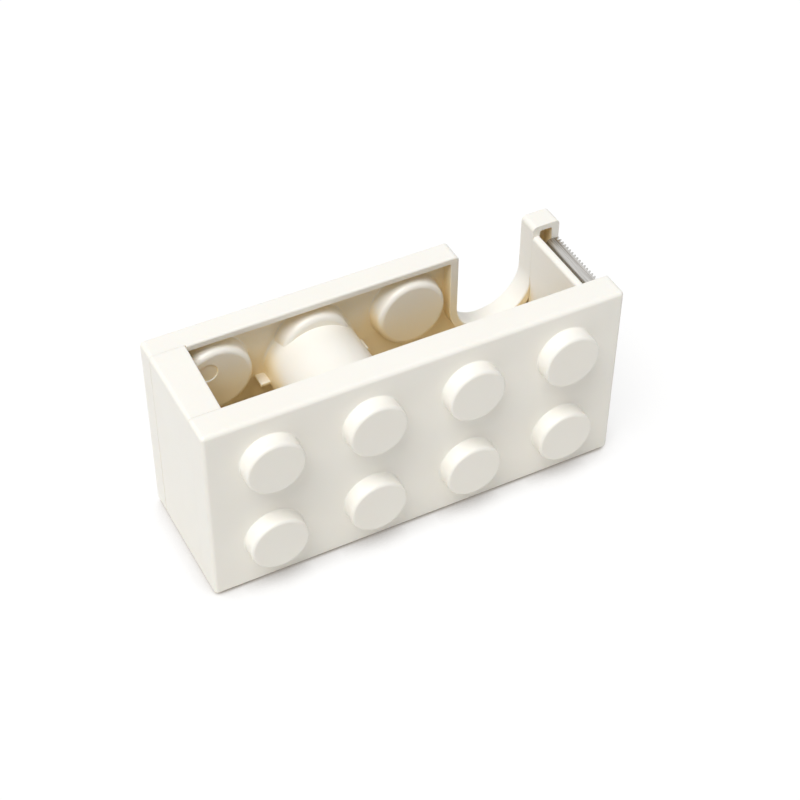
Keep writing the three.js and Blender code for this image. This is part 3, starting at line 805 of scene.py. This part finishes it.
def blade_section(bottom):
    """The folded strip in section: up from the slot, a round bend and a level flange."""
    left = blade_low.x
    bend = Vector((left + BLADE_BEND, BLADE_TOP - BLADE_BEND))
    arcs = {radius: [bend + radius * Vector((-math.cos(a), math.sin(a))) for a in QUARTER]
            for radius in (BLADE_BEND, BLADE_BEND - BLADE_SHEET)}
    root = BLADE_ROOT + BLADE_SHEET * math.sin(TOOTH_RISE) / 2
    return [
        (left, bottom),
        (left + BLADE_SHEET, bottom),
        *arcs[BLADE_BEND - BLADE_SHEET],
        (root, BLADE_TOP - BLADE_SHEET),
        (root, BLADE_TOP),
        *reversed(arcs[BLADE_BEND]),
    ]


def saw_edge():
    """One outline of teeth in sheet, turned up from the flange."""
    front, back = blade_low.y, blade_high.y
    count = int((back - front) / TOOTH_PITCH)
    start = front + (back - front - count * TOOTH_PITCH) / 2
    edge = [(-TOOTH_OVERLAP, front), (TOOTH_ROOT_LAND, front)]
    for i in range(count):
        edge.append((TOOTH_ROOT_LAND, start + i * TOOTH_PITCH))
        edge.append((TOOTH_ROOT_LAND + TOOTH_HEIGHT, start + (i + 0.5) * TOOTH_PITCH))
    edge += [(TOOTH_ROOT_LAND, start + count * TOOTH_PITCH), (TOOTH_ROOT_LAND, back),
             (-TOOTH_OVERLAP, back)]
    teeth = skin([[(along, y, level) for along, y in edge] for level in (-BLADE_SHEET, 0)])
    teeth.data.transform(Matrix.Translation((BLADE_ROOT, 0, BLADE_TOP))
                         @ Matrix.Rotation(-TOOTH_RISE, 4, "Y"))
    return teeth


def cutter_blade():
    """The folded strip with its saw edge, and the tongue that holds it in the casing's slot."""
    section = blade_section(SILL_TOP + SEAT_GAP)
    flange = skin([[(x, y, z) for x, z in section] for y in (blade_low.y, blade_high.y)])
    tongue = drawn(rectangle(blade_low.x, blade_low.z, blade_low.x + BLADE_SHEET, SILL_TOP + REACH,
                             TONGUE_CORNER), [(TONGUE_FRONT, 0), (TONGUE_BACK, 0)])
    blade = joined(flange, tongue, saw_edge())
    ground = blade.modifiers.new("ground edges", "BEVEL")
    ground.width = GROUND_EDGE
    ground.segments = 2
    ground.angle_limit = math.radians(40)
    return combined("UNION", blade, [])  # applies the bevel


# ---------- feet and screws ----------

def foot_pad(node):
    """A round pad with soft edges."""
    low, high = in_casing(node)
    centre = (low.x + high.x) / 2, (low.y + high.y) / 2
    levels = between(rounded(low.z, 1, PAD_BOTTOM_ROUND), rounded(high.z, -1, PAD_TOP_ROUND))
    return turned((high.x - low.x) / 2, levels, centre, upright=True)


def pan_head_screw(node):
    """A screw that points to the front, with a tapered cross recess in its head."""
    low, high = in_casing(node)
    x, z = (low.x + high.x) / 2, (low.z + high.z) / 2
    seat = SCREW_SEAT + SEAT_GAP
    head_levels = between(rounded(seat, 1, HEAD_EDGE), rounded(high.y, -1, HEAD_ROUND))
    head = turned((high.x - low.x) / 2, head_levels, (x, z), SMALL_ROUND)
    shank_levels = [(low.y, SCREW_POINT_TAPER), (low.y + SCREW_POINT, 0), (seat + SHANK_ROOT, 0)]
    shank = turned(SCREW_RADIUS, shank_levels, (x, z), SMALL_ROUND)
    cross = []
    for wide, tall in ((CROSS_WIDTH, CROSS_LENGTH), (CROSS_LENGTH, CROSS_WIDTH)):
        arm = rectangle(x - wide, z - tall, x + wide, z + tall, CROSS_CORNER)
        cross.append(drawn(arm, [(high.y - CROSS_DEPTH, CROSS_TAPER), (high.y + CROSS_RISE, 0)]))
    return without(joined(head, shank), *cross)


# ---------- floor, light and camera ----------

def shown_strength(nodes, links):
    """1 for a ray from the camera or one that mirrors or passes through, else 0."""
    path = nodes.new("ShaderNodeLightPath")
    rays = ("Is Camera Ray", "Is Glossy Ray", "Is Transmission Ray")
    return chained(nodes, links, "MAXIMUM", *[path.outputs[ray] for ray in rays])


def make_world(strength):
    """Even white light, behind a background that shows as plain white."""
    world = bpy.data.worlds.new("studio")
    world.use_nodes = True
    nodes, links = world.node_tree.nodes, world.node_tree.links
    light = nodes["Background"]
    light.inputs["Color"].default_value = (1, 0.99, 0.98, 1)
    light.inputs["Strength"].default_value = strength
    shown = nodes.new("ShaderNodeBackground")
    shown.inputs["Color"].default_value = (1, 1, 1, 1)
    mix = nodes.new("ShaderNodeMixShader")
    links.new(shown_strength(nodes, links), mix.inputs[0])
    links.new(light.outputs[0], mix.inputs[1])
    links.new(shown.outputs[0], mix.inputs[2])
    links.new(mix.outputs[0], nodes["World Output"].inputs["Surface"])
    bpy.context.scene.world = world


def make_floor(size, paint, lift):
    """A white floor that bounces light as pale board does.

    The camera sees shadows on its paint, over a lift with painted contact shadow where things touch
    it.
    """
    mesh = bpy.data.meshes.new("floor")
    half = size / 2
    corners = [(-half, -half, 0), (half, -half, 0), (half, half, 0), (-half, half, 0)]
    mesh.from_pydata(corners, [], [(0, 1, 2, 3)])
    floor = bpy.data.objects.new("floor", mesh)
    bpy.context.scene.collection.objects.link(floor)
    material, nodes, links, shader = new_material("white_floor")
    nodes.remove(shader)
    board = nodes.new("ShaderNodeBsdfDiffuse")
    board.inputs["Color"].default_value = (0.77, 0.755, 0.72, 1)
    shaded = nodes.new("ShaderNodeBsdfDiffuse")
    shaded.inputs["Color"].default_value = (paint, paint, paint, 1)
    glow = nodes.new("ShaderNodeEmission")
    glow.inputs["Strength"].default_value = lift
    # Painted contact shadow: the lift's colour goes dark brown where the floor is closed in by what
    # stands on it
    links.new(toned(nodes, links, openness(nodes, 0.01), [
        (0.2, (0.2, 0.17, 0.14)),
        (0.6, (0.9, 0.89, 0.88)),
        (0.9, (1, 1, 1)),
    ]), glow.inputs["Color"])
    shown = nodes.new("ShaderNodeAddShader")
    links.new(shaded.outputs[0], shown.inputs[0])
    links.new(glow.outputs[0], shown.inputs[1])
    mix = nodes.new("ShaderNodeMixShader")
    links.new(shown_strength(nodes, links), mix.inputs[0])
    links.new(board.outputs[0], mix.inputs[1])
    links.new(shown.outputs[0], mix.inputs[2])
    links.new(mix.outputs[0], nodes["Material Output"].inputs["Surface"])
    mesh.materials.append(material)


def make_lamp(name, place, target, size, power):
    """A round soft lamp that faces its target."""
    lamp = bpy.data.lights.new(name, "AREA")
    lamp.shape = "DISK"
    lamp.size = size
    lamp.energy = power
    holder = bpy.data.objects.new(name, lamp)
    holder.location = place
    holder.rotation_euler = (Vector(target) - Vector(place)).to_track_quat("-Z", "Y").to_euler()
    bpy.context.scene.collection.objects.link(holder)


def make_camera():
    """A long lens, above and to the left of the front face, tipped a hair anticlockwise."""
    data = bpy.data.cameras.new("camera")
    data.sensor_width = 36
    data.lens = 82.6
    camera = bpy.data.objects.new("camera", data)
    down, yaw, roll = math.radians(43.72), math.radians(-28), math.radians(0.61)
    aim = (Matrix.Rotation(yaw, 4, "Z") @ Matrix.Rotation(math.pi / 2 - down, 4, "X")
           @ Matrix.Rotation(roll, 4, "Z"))
    camera.matrix_world = Matrix.Translation((-0.15257, -0.29232, 0.3435)) @ aim
    bpy.context.scene.collection.objects.link(camera)
    bpy.context.scene.camera = camera


# ---------- the dispenser in its studio ----------

cream = cream_plastic()
steel = blade_steel()
zinc = zinc_plate()
foam = pad_foam()

finished(front_cover(), "front_cover_moulding", cream, "cream_abs", "casing", "front_cover")
finished(casing_frame(), "casing_frame_moulding", cream, "cream_abs", "casing", "casing_frame")
finished(rear_shell(), "rear_shell_moulding", cream, "cream_abs", "rear_shell", "rear_shell")
finished(cutter_blade(), "cutter_blade_strip", steel, "blade_steel", "casing", "cutter_blade")
for number in range(1, 5):
    pad, screw = f"foot_pad_{number}", f"case_screw_{number}"
    finished(foot_pad(pad), f"{pad}_foam", foam, "pad_foam", "casing", pad)
    finished(pan_head_screw(screw), f"{screw}_pan_head", zinc, "plated_steel", "casing", screw)

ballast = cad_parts["ballast_plate"]
ballast.data.materials.clear()
ballast.data.materials.append(zinc)

make_world(strength=0.37)
make_floor(size=8, paint=0.23, lift=0.79)
make_lamp("key", place=(-1.42, -0.76, 3.47), target=(0, 0, 0.03), size=2.4, power=117)
make_camera()
bpy.context.scene.view_settings.view_transform = "Standard"
